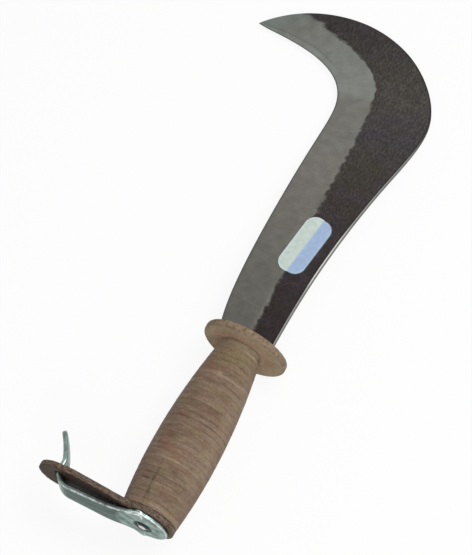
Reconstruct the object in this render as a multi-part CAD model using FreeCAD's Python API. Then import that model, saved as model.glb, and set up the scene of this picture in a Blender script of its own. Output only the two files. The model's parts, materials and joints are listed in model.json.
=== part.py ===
import FreeCAD, Part
import math
import os

# Billhook: a hooked pruning blade on a grip of stacked leather washers, with a belt hook at the
# pommel. Millimetres. Every piece is drawn on the tang's own axes: X runs along the tang to the
# blade from the grip's end of the guard, Y goes up to the spine and Z stands square to the blade,
# on the side without the label. At the end the whole tool is turned over and laid down on the
# bench, on Z = 0, with its label up, where it rests on the guard's rim and on the far end of the
# blade.

V = FreeCAD.Vector

# Blade. Each station of the forging goes from the cutting edge to the spine:
# (edge, grind line, spine, thickness at the spine), points as (distance from the heel, height).
# The whole pattern is stretched to the blade's length, from the heel to its far end.
BLADE_LENGTH = 251.8
BLADE_STATIONS = [
    ((0.0, -21.0), (0.0, -3.0), (0.0, 16.0), 5.0),
    ((25.0, -27.0), (25.0, -3.5), (25.0, 16.0), 4.9),
    ((60.0, -30.0), (60.0, -3.8), (60.0, 17.1), 4.7),
    ((100.0, -31.0), (100.0, -4.5), (100.0, 20.8), 4.4),
    ((140.0, -30.7), (140.0, -5.2), (140.0, 27.0), 4.1),
    ((168.0, -29.8), (172.0, -6.0), (176.0, 33.8), 3.9),
    ((188.0, -31.0), (196.0, -8.5), (204.0, 33.0), 3.7),
    ((202.5, -38.8), (214.5, -14.5), (226.5, 19.0), 3.5),
    ((211.5, -52.5), (227.0, -32.0), (243.5, -3.5), 3.2),
    ((216.3, -69.0), (234.2, -52.0), (251.8, -32.0), 2.9),
    ((218.5, -86.0), (237.0, -70.0), (250.0, -60.0), 2.4),
    ((219.3, -98.0), (237.0, -87.0), (240.0, -85.5), 1.6),
]
BEAK_TIP = (220.5, -107.5)
BEAK_TIP_WIDTH = 1.2
BEAK_TIP_THICKNESS = 0.8
EDGE_LAND = 0.4
SPINE_EASE = 0.6
SPINE_EASE_DROP = 0.36

# Tang, from the heel through the grip to the peened head.
TANG_WIDTH_HEEL = 14.0
TANG_WIDTH_END = 9.0
TANG_THICKNESS = 4.6
TANG_CLEARANCE = 0.2
RIVET_DIAMETER = 7.0
RIVET_CLEARANCE = 0.1
RIVET_HEAD_DIAMETER = 8.6
RIVET_HEAD_WALL = 0.8
RIVET_HEAD_PROUD = 1.2

# Leather guard and grip.
GUARD_DIAMETER = 60.0
GUARD_THICKNESS = 5.0
GUARD_RIM_ROUND = 1.2
WASHER_COUNT = 30
WASHER_THICKNESS = 4.35
WASHER_ROUND = 0.25
GRIP_RADIUS_AT_GUARD = 14.6
GRIP_RADIUS_FINGERS = 19.7
GRIP_RADIUS_PALM = 22.5
GRIP_RADIUS_POMMEL = 19.7
FINGERS_AT = 0.26
PALM_AT = 0.58
GRIP_MIDDLE_AT_GUARD = -1.8
GRIP_MIDDLE_AT_POMMEL = 0.4

# Leather tongue that closes the belt hook, cut in one piece with the last washer.
TONGUE_THICKNESS = 4.2
TONGUE_WIDTH = 32.0
TONGUE_REACH = 79.5
TONGUE_FLAT_REACH = 14.0
TONGUE_BEND_RADIUS = 120.0
TONGUE_LIFT = 3.6
TONGUE_DROOP = 5.0
TONGUE_DROOP_LENGTH = 30.0
TONGUE_SLOT_CLEARANCE = 0.4

# Belt hook, pressed and bent from one plated steel blank.
PLATE_RADIUS = 17.0
PLATE_RIM_THICKNESS = 2.6
HOOK_THICKNESS = 3.4
HOOK_CROWN = 3.5
ARM_REACH = 54.0
ARM_STAND_OFF = 2.0
JOGGLE_RADIUS = 80.0
JOGGLE_FROM = 4.0
ARM_HALF_WIDTH_ROOT = 13.6
ARM_HALF_WIDTH_BEND = 9.4
PRONG_HALF_WIDTH_TIP = 5.0
ARM_FLARE = 2.7
ARM_FLARE_FADE = 2.7
BEND_RADIUS = 11.0
BEND_ANGLE = 90.0
PRONG_RISE = 3.0
PRONG_KICK = 25.0
PRONG_KICK_RADIUS = 9.0
PRONG_CURL = 12.0
PRONG_CURL_RADIUS = 80.0
PRONG_END = 3.0
PRONG_TIP_ROUND = 3.0
HOOK_EDGE_ROUND = 1.3
HEAD_RECESS_DIAMETER = 11.6
HEAD_RECESS_DEPTH = 1.1

# Paper label on the blade, over the grind line.
LABEL_LENGTH = 45.5
LABEL_WIDTH = 20.0
LABEL_CORNER = 8.0
LABEL_THICKNESS = 0.2
LABEL_FROM_HEEL = 81.0
LABEL_HEIGHT = 1.0
LABEL_TURN = 7.0

# Where the stack of washers ends, and the face of the tongue that the hook plate bears on.
GRIP_LENGTH = WASHER_COUNT * WASHER_THICKNESS
TONGUE_FACE = -(GRIP_LENGTH + TONGUE_THICKNESS)

# Half a turn, which brings the label up on the bench.
UPSIDE_DOWN = 180.0

# A length that goes past every piece, and the angle and the distance by which edges are told
# apart when they are rounded.
BEYOND = 300.0
SHARP_ANGLE = 20.0
NEARBY = 1.0


def rail(points):
    """One lengthwise line of the blade: a smooth curve through its point at each station."""
    curve = Part.BSplineCurve()
    curve.interpolate(Points=points, Parameters=[float(k) for k in range(len(points))])
    return curve.toShape()


def station_section(edge, grind, spine, thickness):
    """The eight corners of the blade's section at one station, round from the lower edge."""
    half = thickness / 2
    land = min(EDGE_LAND, thickness) / 2
    to_grind = V(grind[0] - spine[0], grind[1] - spine[1], 0)
    ease = min(SPINE_EASE, to_grind.Length / 2, half)
    shoulder = V(spine[0], spine[1], 0) + to_grind * (ease / to_grind.Length)
    brow = half - ease * SPINE_EASE_DROP / SPINE_EASE
    upper = [V(edge[0], edge[1], land), V(grind[0], grind[1], half),
             V(shoulder.x, shoulder.y, half), V(spine[0], spine[1], brow)]
    lower = [V(p.x, p.y, -p.z) for p in upper]
    pattern_length = max(point[0] for station in BLADE_STATIONS for point in station[:3])
    stretch = BLADE_LENGTH / pattern_length
    return [V(GUARD_THICKNESS + p.x * stretch, p.y, p.z) for p in upper + lower[::-1]]


def blade_sections():
    """Corner points at every station, the tip included."""
    sections = [station_section(*station) for station in BLADE_STATIONS]
    edge, spine = BLADE_STATIONS[-1][0], BLADE_STATIONS[-1][2]
    across = V(spine[0] - edge[0], spine[1] - edge[1], 0).normalize() * BEAK_TIP_WIDTH
    tip_spine = (BEAK_TIP[0] + across.x, BEAK_TIP[1] + across.y)
    tip_grind = (BEAK_TIP[0] + across.x / 2, BEAK_TIP[1] + across.y / 2)
    sections.append(station_section(BEAK_TIP, tip_grind, tip_spine, BEAK_TIP_THICKNESS))
    return sections


def blade_forging():
    """Blade between heel and beak, ground from the grind line down to the edge."""
    sections = blade_sections()
    rails = [rail(corner) for corner in zip(*sections)]
    faces = [Part.makeRuledSurface(rails[k - 1], rails[k]) for k in range(len(rails))]
    for section in (sections[0], sections[-1]):
        faces.append(Part.Face(Part.makePolygon(section + section[:1])))
    shell = Part.makeShell(faces)
    shell.sewShape()
    solid = Part.makeSolid(shell)
    if solid.Volume < 0:
        solid.reverse()
    return solid


def tang_bar(clearance):
    """Tapered tang from the heel to the hook plate, larger all round by a clearance."""
    thickness = TANG_THICKNESS / 2 + clearance
    ends = []
    for x, width in ((GUARD_THICKNESS, TANG_WIDTH_HEEL), (TONGUE_FACE, TANG_WIDTH_END)):
        half = width / 2 + clearance
        corners = [V(x, -half, -thickness), V(x, half, -thickness),
                   V(x, half, thickness), V(x, -half, thickness)]
        ends.append(Part.makePolygon(corners + corners[:1]))
    return Part.makeLoft(ends, True, True)


def hook_outer_face():
    """X of the hook plate's outer face at the tang."""
    return TONGUE_FACE - HOOK_CROWN


def dome_fall(radius, height, out):
    """How far a dome has fallen below its crown at a distance out from the middle."""
    ball = (radius ** 2 + height ** 2) / (2 * height)
    return ball - math.sqrt(ball ** 2 - out ** 2)


def peened_head():
    """Round end of the tang through the hook plate, with its hammered dome."""
    floor = hook_outer_face() + HEAD_RECESS_DEPTH
    shank = Part.makeCylinder(RIVET_DIAMETER / 2, TONGUE_FACE - floor, V(floor, 0, 0), V(1, 0, 0))
    radius = RIVET_HEAD_DIAMETER / 2
    height = HEAD_RECESS_DEPTH + RIVET_HEAD_PROUD
    fall = dome_fall(radius, height - RIVET_HEAD_WALL, radius / 2)
    start = V(floor, 0, 0)
    rim = V(floor, radius, 0)
    brow = V(floor - RIVET_HEAD_WALL, radius, 0)
    crown = V(floor - height, 0, 0)
    between = V(floor - height + fall, radius / 2, 0)
    outline = [Part.makeLine(start, rim), Part.makeLine(rim, brow),
               Part.Arc(brow, between, crown).toShape(), Part.makeLine(crown, start)]
    head = Part.Face(Part.Wire(outline)).revolve(V(0, 0, 0), V(1, 0, 0), 360)
    return shank.fuse(head)


def blade_and_tang():
    return blade_forging().fuse([tang_bar(0), peened_head()]).removeSplitter()


def guard_disc():
    disc = Part.makeCylinder(GUARD_DIAMETER / 2, GUARD_THICKNESS, V(0, 0, 0), V(1, 0, 0))
    rims = [edge for edge in disc.Edges if edge.Closed]
    return disc.makeFillet(GUARD_RIM_ROUND, rims).cut(tang_bar(TANG_CLEARANCE))


def grip_radius(back):
    """Radius of the sanded grip at a distance back from the guard, smooth through four sizes."""
    places = [0.0, FINGERS_AT * GRIP_LENGTH, PALM_AT * GRIP_LENGTH, GRIP_LENGTH]
    radii = [GRIP_RADIUS_AT_GUARD, GRIP_RADIUS_FINGERS, GRIP_RADIUS_PALM, GRIP_RADIUS_POMMEL]
    radius = 0.0
    for k, place in enumerate(places):
        weight = 1.0
        for other in places[:k] + places[k + 1:]:
            weight *= (back - other) / (place - other)
        radius += radii[k] * weight
    return radius


def grip_middle(back):
    """Height of the sanded grip's middle above the tang's, which it crosses at a slight lean."""
    lean = (GRIP_MIDDLE_AT_POMMEL - GRIP_MIDDLE_AT_GUARD) / GRIP_LENGTH
    return GRIP_MIDDLE_AT_GUARD + lean * back


def washer_disc(front, back, front_radius, back_radius):
    """Leather disc between two distances back from the guard, with both rims a little worn."""
    outline = [V(-front, 0, 0),
               V(-front, front_radius - WASHER_ROUND, 0),
               V(-front - WASHER_ROUND, front_radius, 0),
               V(-back + WASHER_ROUND, back_radius, 0),
               V(-back, back_radius - WASHER_ROUND, 0),
               V(-back, 0, 0)]
    disc = Part.Face(Part.makePolygon(outline + outline[:1])).revolve(V(0, 0, 0), V(1, 0, 0), 360)
    return disc.translated(V(0, grip_middle((front + back) / 2), 0))


def grip_washers():
    """The stack of washers, sanded to one smooth grip."""
    washers = []
    for k in range(WASHER_COUNT):
        front, back = k * WASHER_THICKNESS, (k + 1) * WASHER_THICKNESS
        disc = washer_disc(front, back, grip_radius(front), grip_radius(back))
        washers.append(disc.cut(tang_bar(TANG_CLEARANCE)).Solids[0])
    return washers


def bar_outline(path, thickness):
    """Side view of a flat bar: two lines half its thickness from its middle line.

    The path is a list of steps, ("run", length) or ("turn", radius, degrees), positive degrees
    turning towards the blade. It starts at the origin and heads down, along -Y.
    """
    sides = []
    for side in (1, -1):
        offset = side * thickness / 2
        position, heading = V(0, 0, 0), -90.0
        edges = []
        for step in path:
            ahead = V(math.cos(math.radians(heading)), math.sin(math.radians(heading)), 0)
            left = V(-ahead.y, ahead.x, 0)
            if step[0] == "run":
                finish = position + ahead * step[1]
                edges.append(Part.makeLine(position + left * offset, finish + left * offset))
                position = finish
                continue
            radius, angle = step[1], step[2]
            turning = math.copysign(1, angle)
            centre = position + left * radius * turning
            arm = position - centre
            reach = (radius - turning * offset) / radius
            points = []
            for part in (0, 0.5, 1):
                spin = FreeCAD.Rotation(V(0, 0, 1), angle * part)
                points.append(centre + spin.multVec(arm) * reach)
            edges.append(Part.Arc(*points).toShape())
            position = centre + FreeCAD.Rotation(V(0, 0, 1), angle).multVec(arm)
            heading += angle
        sides.append(edges)
    left_ends = (sides[0][0].firstVertex().Point, sides[0][-1].lastVertex().Point)
    right_ends = (sides[1][0].firstVertex().Point, sides[1][-1].lastVertex().Point)
    caps = [Part.makeLine(left_ends[1], right_ends[1]), Part.makeLine(left_ends[0], right_ends[0])]
    outline = Part.Wire(Part.sortEdges(sides[0] + sides[1] + caps)[0])
    return Part.Face(outline)


def arm_half_width(reach):
    """Half width of the plate's arm at a distance out from the tang."""
    run = reach / ARM_REACH
    straight = ARM_HALF_WIDTH_ROOT + (ARM_HALF_WIDTH_BEND - ARM_HALF_WIDTH_ROOT) * run
    return straight + ARM_FLARE * math.exp(-ARM_FLARE_FADE * reach / PLATE_RADIUS)


def prong_middle():
    """Y of the prong's middle line where it passes through the tongue."""
    return -(ARM_REACH + BEND_RADIUS)


def hook_bar():
    """Side view of arm, bend and prong, as one bent bar of even thickness."""
    joggle = math.degrees(math.acos(1 - ARM_STAND_OFF / (2 * JOGGLE_RADIUS)))
    joggle_length = 2 * JOGGLE_RADIUS * math.sin(math.radians(joggle))
    path = [("run", JOGGLE_FROM),
            ("turn", JOGGLE_RADIUS, -joggle),
            ("turn", JOGGLE_RADIUS, joggle),
            ("run", ARM_REACH - JOGGLE_FROM - joggle_length),
            ("turn", BEND_RADIUS, BEND_ANGLE),
            ("run", PRONG_RISE),
            ("turn", PRONG_KICK_RADIUS, -PRONG_KICK),
            ("turn", PRONG_CURL_RADIUS, -PRONG_CURL),
            ("run", PRONG_END)]
    bar = bar_outline(path, HOOK_THICKNESS)
    bar.translate(V(TONGUE_FACE - HOOK_THICKNESS / 2, 0, -PLATE_RADIUS * 2))
    return bar.extrude(V(0, 0, PLATE_RADIUS * 4))


def hook_prong_end():
    """End of the prong's middle line."""
    kick = math.radians(PRONG_KICK)
    lean = math.radians(PRONG_KICK + PRONG_CURL)
    x = TONGUE_FACE - HOOK_THICKNESS / 2 - ARM_STAND_OFF + BEND_RADIUS + PRONG_RISE
    x += PRONG_KICK_RADIUS * math.sin(kick) + PRONG_END * math.cos(lean)
    x += PRONG_CURL_RADIUS * (math.sin(lean) - math.sin(kick))
    out = PRONG_KICK_RADIUS * (1 - math.cos(kick)) + PRONG_END * math.sin(lean)
    out += PRONG_CURL_RADIUS * (math.cos(kick) - math.cos(lean))
    return V(x, prong_middle() - out, 0)


def sharp_edges(solid):
    """Edges where two faces meet at a clear angle."""
    sharp = []
    for edge in solid.Edges:
        middle = edge.valueAt((edge.FirstParameter + edge.LastParameter) / 2)
        normals = []
        for face in solid.ancestorsOfType(edge, Part.Face):
            u, v = face.Surface.parameter(middle)
            normals.append(face.normalAt(u, v))
        if len(normals) == 2 and normals[0].getAngle(normals[1]) > math.radians(SHARP_ANGLE):
            sharp.append(edge)
    return sharp


def arm_plan():
    """The blank's arm seen along the tang: flared root, then a taper out to the prong's tip."""
    tip_reach = HOOK_THICKNESS - hook_prong_end().y
    reaches = (0, PLATE_RADIUS / 2, PLATE_RADIUS, (PLATE_RADIUS + ARM_REACH) / 2, ARM_REACH)
    near = [V(-BEYOND, -reach, arm_half_width(reach)) for reach in reaches]
    near.append(V(-BEYOND, -tip_reach, PRONG_HALF_WIDTH_TIP))
    far = [V(p.x, p.y, -p.z) for p in near]
    sides = []
    for line in (near, far):
        curve = Part.BSplineCurve()
        curve.interpolate(line)
        sides.append(curve.toShape())
    caps = [Part.makeLine(near[0], far[0]), Part.makeLine(near[-1], far[-1])]
    return Part.Face(Part.Wire(Part.sortEdges(sides + caps)[0])).extrude(V(BEYOND, 0, 0))


def hook_plate():
    """Round cap plate, thin at its rim and thicker where the tang is peened."""
    rim_face = TONGUE_FACE - PLATE_RIM_THICKNESS
    crown = V(TONGUE_FACE - HOOK_CROWN, 0, 0)
    corner = V(rim_face + HOOK_EDGE_ROUND, PLATE_RADIUS, 0)
    shoulder = V(rim_face, PLATE_RADIUS - HOOK_EDGE_ROUND, 0)
    round_off = HOOK_EDGE_ROUND * (1 - math.sqrt(0.5))
    between = V(rim_face + round_off, PLATE_RADIUS - round_off, 0)
    swell_rise = HOOK_CROWN - PLATE_RIM_THICKNESS
    fall = dome_fall(shoulder.y, swell_rise, shoulder.y / 2)
    swell = V(crown.x + fall, shoulder.y / 2, 0)
    start = V(TONGUE_FACE, 0, 0)
    rim = V(TONGUE_FACE, PLATE_RADIUS, 0)
    outline = [Part.makeLine(start, rim), Part.makeLine(rim, corner),
               Part.Arc(corner, between, shoulder).toShape(),
               Part.Arc(shoulder, swell, crown).toShape(), Part.makeLine(crown, start)]
    return Part.Face(Part.Wire(outline)).revolve(V(0, 0, 0), V(1, 0, 0), 360)


def belt_hook():
    """Plate, arm, bend and prong, with the recess and the hole for the tang's end."""
    arm = hook_bar().common(arm_plan()).Solids[0]
    prong_end = hook_prong_end()
    tip = []
    for edge in arm.Edges:
        middle = edge.CenterOfMass
        off = middle.distanceToPoint(V(prong_end.x, prong_end.y, middle.z))
        if off < NEARBY and abs(edge.Length - HOOK_THICKNESS) < NEARBY:
            tip.append(edge)
    arm = arm.makeFillet(PRONG_TIP_ROUND, tip)
    rims = [edge for edge in sharp_edges(arm) if edge.BoundBox.YMin < -NEARBY]
    arm = arm.makeFillet(HOOK_EDGE_ROUND, rims)
    hook = hook_plate().fuse(arm)
    floor = hook_outer_face() + HEAD_RECESS_DEPTH
    recess = Part.makeCylinder(HEAD_RECESS_DIAMETER / 2, BEYOND, V(floor, 0, 0), V(-1, 0, 0))
    hole = Part.makeCylinder(RIVET_DIAMETER / 2 + RIVET_CLEARANCE, BEYOND, V(0, 0, 0), V(-1, 0, 0))
    return hook.cut([recess, hole]).removeSplitter()


def tongue_washer():
    """Last washer of the stack, with the long tongue that keeps the belt on the hook."""
    bends = math.radians(TONGUE_LIFT + TONGUE_DROOP) * TONGUE_BEND_RADIUS
    rise = TONGUE_REACH - TONGUE_FLAT_REACH - TONGUE_DROOP_LENGTH - bends / 2
    path = [("run", TONGUE_FLAT_REACH),
            ("turn", TONGUE_BEND_RADIUS, TONGUE_LIFT),
            ("run", rise),
            ("turn", TONGUE_BEND_RADIUS, -TONGUE_DROOP),
            ("run", TONGUE_DROOP_LENGTH)]
    strip = bar_outline(path, TONGUE_THICKNESS)
    middle = TONGUE_FACE + TONGUE_THICKNESS / 2
    strip.translate(V(middle, 0, -GRIP_RADIUS_POMMEL * 2))
    strip = strip.extrude(V(0, 0, GRIP_RADIUS_POMMEL * 4))
    end_middle = TONGUE_REACH - TONGUE_WIDTH / 2
    plan = Part.makeBox(BEYOND, end_middle, TONGUE_WIDTH, V(-BEYOND, -end_middle, -TONGUE_WIDTH / 2))
    end = Part.makeCylinder(TONGUE_WIDTH / 2, BEYOND, V(-BEYOND, -end_middle, 0), V(1, 0, 0))
    tongue = strip.common(plan.fuse(end))
    washer = washer_disc(GRIP_LENGTH, -TONGUE_FACE, GRIP_RADIUS_POMMEL, GRIP_RADIUS_POMMEL)
    slot_height = HOOK_THICKNESS + 2 * TONGUE_SLOT_CLEARANCE
    slot_width = 2 * (arm_half_width(-prong_middle()) + TONGUE_SLOT_CLEARANCE)
    slot = Part.makeBox(BEYOND, slot_height, slot_width,
                        V(-BEYOND, prong_middle() - slot_height / 2, -slot_width / 2))
    return washer.fuse(tongue).cut([slot, tang_bar(TANG_CLEARANCE)]).removeSplitter()


def blade_label():
    """Thin paper label that lies on the blade, bent over the grind line."""
    half_length = LABEL_LENGTH / 2
    half_width = LABEL_WIDTH / 2
    plate = Part.makeBox(LABEL_LENGTH, LABEL_WIDTH, BEYOND, V(-half_length, -half_width, -BEYOND))
    upright = [e for e in plate.Edges if e.BoundBox.ZLength > BEYOND / 2]
    plate = plate.makeFillet(LABEL_CORNER, upright)
    plate.rotate(V(0, 0, 0), V(0, 0, 1), LABEL_TURN)
    plate.translate(V(GUARD_THICKNESS + LABEL_FROM_HEEL, LABEL_HEIGHT, 0))
    blade = blade_forging()
    lifted = blade.translated(V(0, 0, -LABEL_THICKNESS))
    return plate.common(lifted).cut(blade).Solids[0]


def bench_pitch():
    """Degrees by which the blade's end dips until the tool rests on guard and blade.

    The bench touches the rounded rim of the guard from below and one point of the blade's
    underside: of all lines from a point to the rim's round, it is the least steep.
    """
    # Both faces of the blade are alike. The heel's points are left out, because they lie inside
    # the guard's outline.
    under = [p for section in blade_sections() for p in section if p.z < 0 and p.x > GUARD_DIAMETER]
    rim = V(GUARD_THICKNESS - GUARD_RIM_ROUND, 0, GUARD_RIM_ROUND - GUARD_DIAMETER / 2)
    slopes = []
    for point in under:
        along, up = point.x - rim.x, point.z - rim.z
        slopes.append(math.atan2(up, along) + math.asin(GUARD_RIM_ROUND / math.hypot(along, up)))
    return math.degrees(min(slopes))


def lay_down(pieces):
    """Turn all pieces over and pitch them alike, and set them on Z = 0, centred over the origin."""
    for piece in pieces.values():
        piece.rotate(V(0, 0, 0), V(1, 0, 0), UPSIDE_DOWN)
        piece.rotate(V(0, 0, 0), V(0, 1, 0), bench_pitch())
    boxes = [piece.optimalBoundingBox() for piece in pieces.values()]
    shift = V(-(min(b.XMin for b in boxes) + max(b.XMax for b in boxes)) / 2,
              -(min(b.YMin for b in boxes) + max(b.YMax for b in boxes)) / 2,
              -min(b.ZMin for b in boxes))
    for piece in pieces.values():
        piece.translate(shift)
    return shift


def all_pieces():
    """Every piece of the tool under its name, still on the tang's own axes."""
    pieces = {"blade_and_tang": blade_and_tang(),
              "leather_guard": guard_disc(),
              "tongue_washer": tongue_washer(),
              "belt_hook": belt_hook(),
              "blade_label": blade_label()}
    for number, washer in enumerate(grip_washers(), 1):
        pieces["grip_washer_%02d" % number] = washer
    return pieces


tool = all_pieces()
bench_shift = lay_down(tool)
print("pitch on the bench", round(bench_pitch(), 3), "degrees, shift", bench_shift)

os.makedirs("parts", exist_ok=True)
for name, piece in tool.items():
    box = piece.optimalBoundingBox()
    print(name, "volume", round(piece.Volume), "solids", len(piece.Solids), "sound", piece.isValid(),
          "from z", round(box.ZMin, 2), "to", round(box.ZMax, 2))
    piece.exportStep("parts/" + name + ".step")
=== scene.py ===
# %% [markdown]
# # A billhook in forged steel and stacked leather
# The real tool is a hooked pruning blade whose tang runs through a leather guard, a stack of
# leather washers and the plate of a belt hook. The solids come from the frame, and this
# lesson gives each piece its worn shape and its finish. We load the frame first, because every
# piece is placed by it.

# %% Load the frame
import json
import math

import bpy
import numpy as np
from mathutils import Matrix, Vector, noise


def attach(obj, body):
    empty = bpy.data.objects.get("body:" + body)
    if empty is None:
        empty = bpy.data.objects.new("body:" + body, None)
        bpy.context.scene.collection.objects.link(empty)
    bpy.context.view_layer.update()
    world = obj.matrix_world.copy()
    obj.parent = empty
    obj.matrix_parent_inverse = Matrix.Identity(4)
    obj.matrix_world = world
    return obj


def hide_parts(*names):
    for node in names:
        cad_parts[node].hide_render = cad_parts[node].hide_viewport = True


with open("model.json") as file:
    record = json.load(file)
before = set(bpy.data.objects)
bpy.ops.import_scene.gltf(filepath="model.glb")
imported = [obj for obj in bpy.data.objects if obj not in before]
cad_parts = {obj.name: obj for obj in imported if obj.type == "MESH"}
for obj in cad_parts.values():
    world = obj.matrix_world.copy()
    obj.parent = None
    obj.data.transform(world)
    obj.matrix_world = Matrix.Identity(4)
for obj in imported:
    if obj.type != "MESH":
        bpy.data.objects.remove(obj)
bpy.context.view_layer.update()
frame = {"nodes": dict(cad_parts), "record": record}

MM = 0.001
put_in_scene = bpy.context.scene.collection.objects.link
print("solids in the frame:", len(frame["nodes"]))

# %% [markdown]
# ## The tool's own axes
# The tool lies on guard and blade, so its tang is pitched against the bench. Shapes and patterns
# are easier to give along the tang: X to the blade from the guard's rear face, Y to the
# spine, Z square to the blade on the side that lies down. Two mounts of the record carry these
# axes, which saves typing an angle that could go out of date.

# %% Find the axes
GRIP_LENGTH = 130.5 * MM
PALM_AT = 0.58

mounts = {mount["name"]: mount for mount in frame["record"]["mounts"]}
tang_way = Vector(mounts["belt_hook"]["axis"]).normalized()
under_way = -Vector(mounts["grip_clip"]["axis"]).normalized()
spine_way = under_way.cross(tang_way)
tang_start = Vector(mounts["grip_clip"]["pos_m"]) + tang_way * GRIP_LENGTH * PALM_AT
axes = Matrix((tang_way, spine_way, under_way)).transposed().to_4x4()
bench = Matrix.Translation(tang_start) @ axes
print("the tang starts at", [round(c, 4) for c in tang_start])

# %% [markdown]
# ## Nodes and colours
# A finish is a small network. One function adds a node with its settings and its links, and
# another reads colours the way painters write them, as sRGB hex, and turns them to the linear
# light that the renderer works in. Patterns are sized by real millimetres.

# %% Helpers for finishes


def linear(code):
    """Linear RGBA of an sRGB hex colour."""
    channels = [int(code[k:k + 2], 16) / 255 for k in (1, 3, 5)]
    light = [c / 12.92 if c <= 0.04045 else ((c + 0.055) / 1.055) ** 2.4 for c in channels]
    return (*light, 1.0)


def per_metre(size_mm):
    """Pattern scale that makes one patch about this many millimetres wide."""
    return 1.0 / (size_mm * MM)


def add(tree, kind, links=(), **settings):
    """Adds a node with its settings. Links are values, hex colours, nodes or outputs for the
    sockets that it shows, by name or in their order, which for a MapRange is the value, the two
    ends of the range it comes from and the two of the new range. Every Mix mixes colours."""
    made = tree.nodes.new("ShaderNode" + kind)
    if kind == "Mix":
        made.data_type = "RGBA"
    for name, value in settings.items():
        setattr(made, name, value)
    shown = [socket for socket in made.inputs if socket.enabled]
    names = [socket.name for socket in shown]
    for place, value in links.items() if isinstance(links, dict) else enumerate(links):
        socket = shown[names.index(place) if isinstance(place, str) else place]
        if isinstance(value, str):
            value = linear(value)
        if isinstance(value, bpy.types.Node):
            value = next(s for s in value.outputs if s.enabled)
        if isinstance(value, bpy.types.NodeSocket):
            tree.links.new(value, socket)
        else:
            socket.default_value = value
    return made


def new_finish(name):
    """A named material and its empty node tree."""
    made = bpy.data.materials.new(name)
    made.use_nodes = True
    made.node_tree.nodes.clear()
    return made, made.node_tree


def on_tool(tree, stretch=(1, 1, 1)):
    """Place on the tool in metres along its own axes, stretched for long or flat patterns."""
    place = add(tree, "TexCoord").outputs["Object"]
    turned = add(tree, "Mapping", {"Vector": place, "Location": tang_start,
                                   "Rotation": bench.to_euler()}, vector_type="TEXTURE")
    return add(tree, "VectorMath", (turned, stretch), operation="MULTIPLY")


print("helpers ready")

# %% [markdown]
# ## Closed skins
# Every piece we model here is a stack of point loops with quads between them: a blade is a stack
# of cross-sections, a washer a stack of rings round the tang. One function makes such a skin.
# It can also keep numbers per point, such as the distance from the edge, and the finishes
# read them to know where on the piece they are.

# %% The skin function


def skin(name, loops, finishes, ring=False, marks=None, strip_finish=None, crease=35):
    """A closed mesh over loops of points on the tool's axes, laid on the bench."""
    loops = np.asarray(loops, float)
    count, around = loops.shape[:2]
    faces = []
    for k in range(count if ring else count - 1):
        low, high = k * around, (k + 1) % count * around
        for j in range(around):
            after = (j + 1) % around
            faces.append((low + j, low + after, high + after, high + j))
    if not ring:
        faces.append(tuple(reversed(range(around))))
        faces.append(tuple(range((count - 1) * around, count * around)))
    mesh = bpy.data.meshes.new(name)
    mesh.from_pydata(loops.reshape(-1, 3).tolist(), [], faces)
    for mark, values in (marks or {}).items():
        kept = mesh.attributes.new(mark, "FLOAT", "POINT")
        kept.data.foreach_set("value", np.asarray(values, float).ravel())
    for finish in finishes:
        mesh.materials.append(finish)
    if strip_finish:
        for face in mesh.polygons:
            face.material_index = strip_finish[min(face.index // around, count - 1)]
    mesh.transform(bench)
    mesh.validate()
    mesh.shade_smooth()
    mesh.set_sharp_from_angle(angle=math.radians(crease))
    piece = bpy.data.objects.new(name, mesh)
    put_in_scene(piece)
    return piece


def bumps(points, size_mm, seed):
    """Smooth random heights from -1 to 1 at points in metres, patches this many mm wide."""
    shifted = np.asarray(points).reshape(-1, 3) * per_metre(size_mm) + seed * 17.3
    heights = [noise.noise(Vector(p)) for p in shifted]
    return np.array(heights).reshape(np.shape(points)[:-1])


print("skin function ready")

# %% [markdown]
# ## Blade steel
# A billhook blade is forged carbon steel. Its body keeps the fire scale, a dark iron oxide with
# a faint purple cast and a pebbled grain. Only the bevel is ground, so bare grey metal meets
# the scale along a ragged line, and the grinding lines run square to the edge. The mesh
# says how far each point is from edge, scale and spine, and two ramps carry the slow change of
# colour from heel to beak; on the bevel that change is painted reflection. The filed corner
# of the spine carries a painted highlight, with painted shade on the scale beside it.

# %% Tones along the blade
# Colours at shares of the edge's length from heel to beak. The bevel was ground in two passes
# that meet in a soft crease where the edge turns into the beak. The bevel's tones are painted
# reflection, darker at the heel and lighter past the crease.
EDGE_LENGTH = 278.0 * MM
CREASE_SLANT = 0.12
BEVEL_TONES_WITH_REFLECTION = ((0.0, "#5c5a55"), (0.2, "#61605a"), (0.34, "#696661"), (0.5, "#6f6c67"),
               (0.685, "#6f6e68"), (0.705, "#777a75"), (0.84, "#71726e"), (0.93, "#6c6c67"),
               (1.0, "#6b736f"))
SCALE_TONES = ((0.0, "#1f1615"), (0.2, "#211817"), (0.4, "#2c2522"), (0.55, "#343029"),
               (0.62, "#373335"), (0.71, "#3f3b35"), (0.84, "#2f2b29"), (1.0, "#2c2928"))


def tone_along(tree, place, stops):
    """Colour that changes slowly with a place along the edge."""
    share = add(tree, "Math", (place, EDGE_LENGTH), operation="DIVIDE")
    ramp = add(tree, "ValToRGB", {"Fac": share})
    knots = ramp.color_ramp.elements
    knots[0].color = linear(stops[0][1])
    knots[1].color = linear(stops[-1][1])
    for at, tone in stops[1:-1]:
        knots.new(at).color = linear(tone)
    return ramp.outputs["Color"]


print("tones:", len(BEVEL_TONES_WITH_REFLECTION), "on the bevel and", len(SCALE_TONES), "on the scale")

# %% Border of the scale
SPUR_LENGTH = 0.6
BLOTCH_DEPTH = 1.7


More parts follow.
